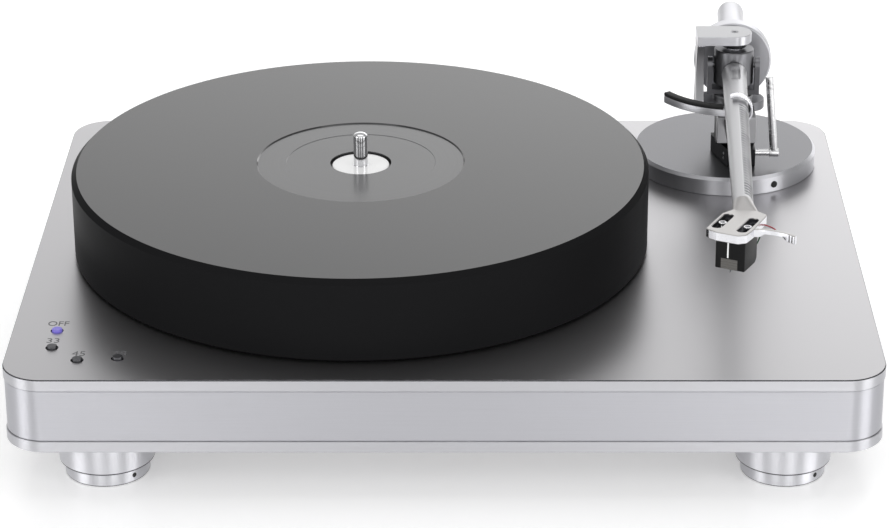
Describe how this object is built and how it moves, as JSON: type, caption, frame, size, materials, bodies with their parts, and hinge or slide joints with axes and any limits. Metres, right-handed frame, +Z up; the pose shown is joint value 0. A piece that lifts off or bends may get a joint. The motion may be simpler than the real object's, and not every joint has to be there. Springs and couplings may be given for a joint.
{
  "type": "turntable",
  "caption": "Belt-driven turntable: sandwich plinth on levelling feet, thick platter, push buttons, and a pivoted tonearm with lift, rest and counterweight.",
  "frame": {"origin": "on the floor under the middle of the overall footprint, rear shaft included", "axes": "+Z up, +X to the listener's right, -Y towards the listener"},
  "size_m": [0.42, 0.3566, 0.1401],
  "materials": {
    "plinth_silver": "bead blasted and silver anodised",
    "brushed_band": "horizontally brushed",
    "core": "raw board",
    "platter_black": "satin turned",
    "chrome": "polished",
    "satin_aluminium": "bead blasted and anodised",
    "grey_aluminium": "fine turned",
    "dark_aluminium": "black anodised",
    "steel": "satin",
    "rubber_black": "matte",
    "belt": "matte",
    "black_plastic": "fine texture",
    "guard_plastic": "moulded",
    "white_disc": "gloss",
    "circuit_board": "solder mask",
    "brass": "gold plated",
    "button_lit": "lit",
    "button_dark": "polished black chrome"
  },
  "bodies": {
    "plinth": {"top_plate": "plinth_silver", "bottom_plate": "plinth_silver", "core_board": "core", "core_left": "core", "core_front": "core", "core_rear_left": "core", "side_band": "brushed_band", "plinth_screws": "steel", "foot_posts": "satin_aluminium", "bearing_housing": "brass", "thrust_pad": "black_plastic", "motor_grommets": "rubber_black", "motor_plate": "steel", "motor": "steel", "drive_belt": "belt", "control_board": "circuit_board", "button_switches": "black_plastic", "terminal_plate": "dark_aluminium", "signal_sockets": "brass", "ground_post": "brass", "power_inlet": "black_plastic", "arm_base": "grey_aluminium", "base_grub_screw": "dark_aluminium"},
    "foot_front_left": {"foot_front_left": "satin_aluminium"},
    "foot_front_right": {"foot_front_right": "satin_aluminium"},
    "foot_rear": {"foot_rear": "satin_aluminium"},
    "platter": {"spindle": "chrome", "subplatter": "dark_aluminium", "platter": "platter_black", "centre_disc": "white_disc"},
    "pulley": {"motor_pulley": "steel"},
    "button_off": {"button_off": "button_lit"},
    "button_33": {"button_33": "button_dark"},
    "button_45": {"button_45": "button_dark"},
    "button_78": {"button_78": "button_dark"},
    "arm_pillar": {"arm_post": "steel", "bracket_base": "satin_aluminium", "bracket_side": "satin_aluminium", "bracket_top": "satin_aluminium", "bracket_screws": "steel", "upper_magnet_holder": "dark_aluminium", "upper_magnet": "chrome", "bearing_cup": "satin_aluminium", "lift_block": "dark_aluminium", "housing_screws": "steel", "lift_housing": "satin_aluminium", "rest_stem": "dark_aluminium", "rest_clip": "satin_aluminium"},
    "yoke": {"bearing_yoke": "grey_aluminium", "yoke_pivots": "steel"},
    "tonearm": {"bearing_drum": "grey_aluminium", "arm_tube": "satin_aluminium", "counterweight_shaft": "grey_aluminium", "head_shell": "satin_aluminium", "cartridge_body": "black_plastic", "stylus_guard": "guard_plastic", "stylus_cantilever": "steel", "cartridge_screws": "chrome"},
    "counterweight": {"counterweight": "grey_aluminium"},
    "lift": {"lift_bar": "satin_aluminium", "lift_pad": "rubber_black"},
    "cue_lever": {"cue_shaft": "chrome", "cue_lever": "chrome"}
  },
  "joints": [
    {"name": "platter_spin", "type": "hinge", "parent": "plinth", "child": "platter", "pos_m": [-0.044, -0.01376, 0.0643], "axis": [0, 0, -1], "continuous": true},
    {"name": "pulley_spin", "type": "hinge", "parent": "plinth", "child": "pulley", "pos_m": [-0.12293, -0.04249, 0.0643], "axis": [0, 0, -1], "continuous": true},
    {"name": "arm_height", "type": "slide", "parent": "plinth", "child": "arm_pillar", "axis": [0, 0, 1], "range_m": [0, 0.005]},
    {"name": "arm_swing", "type": "hinge", "parent": "arm_pillar", "child": "yoke", "pos_m": [0.1538, 0.09004, 0.1213], "axis": [0, 0, -1], "range_deg": [0, 45]},
    {"name": "arm_pitch", "type": "hinge", "parent": "yoke", "child": "tonearm", "pos_m": [0.1538, 0.09004, 0.1213], "axis": [-0.9986, 0.0523, 0], "range_deg": [0, 10], "deforming": ["rest_clip"]},
    {"name": "counterweight_slide", "type": "slide", "parent": "tonearm", "child": "counterweight", "axis": [0.0523, 0.9983, -0.0262], "range_m": [0, 0.014]},
    {"name": "cue_lever", "type": "hinge", "parent": "arm_pillar", "child": "cue_lever", "pos_m": [0.1738, 0.06274, 0.0813], "axis": [1, 0, 0], "range_deg": [0, 70]},
    {"name": "lift_slide", "type": "slide", "parent": "arm_pillar", "child": "lift", "axis": [0, 0, 1], "range_m": [-0.005, 0]},
    {"name": "press_off", "type": "slide", "parent": "plinth", "child": "button_off", "axis": [0, 0, -1], "range_m": [0, 0.0008], "stiffness_N_per_m": 400, "springref_m": -0.0005},
    {"name": "press_33", "type": "slide", "parent": "plinth", "child": "button_33", "axis": [0, 0, -1], "range_m": [0, 0.0008], "stiffness_N_per_m": 400, "springref_m": -0.0005},
    {"name": "press_45", "type": "slide", "parent": "plinth", "child": "button_45", "axis": [0, 0, -1], "range_m": [0, 0.0008], "stiffness_N_per_m": 400, "springref_m": -0.0005},
    {"name": "press_78", "type": "slide", "parent": "plinth", "child": "button_78", "axis": [0, 0, -1], "range_m": [0, 0.0008], "stiffness_N_per_m": 400, "springref_m": -0.0005},
    {"name": "level_front_left", "type": "slide", "parent": "plinth", "child": "foot_front_left", "axis": [0, 0, -1], "range_m": [0, 0.003]},
    {"name": "level_front_right", "type": "slide", "parent": "plinth", "child": "foot_front_right", "axis": [0, 0, -1], "range_m": [0, 0.003]},
    {"name": "level_rear", "type": "slide", "parent": "plinth", "child": "foot_rear", "axis": [0, 0, -1], "range_m": [0, 0.003]}
  ],
  "couplings": [
    {"joint": "pulley_spin", "follows": "platter_spin", "ratio": 8.7333},
    {"joint": "lift_slide", "follows": "cue_lever", "m_per_rad": -0.0040926}
  ]
}
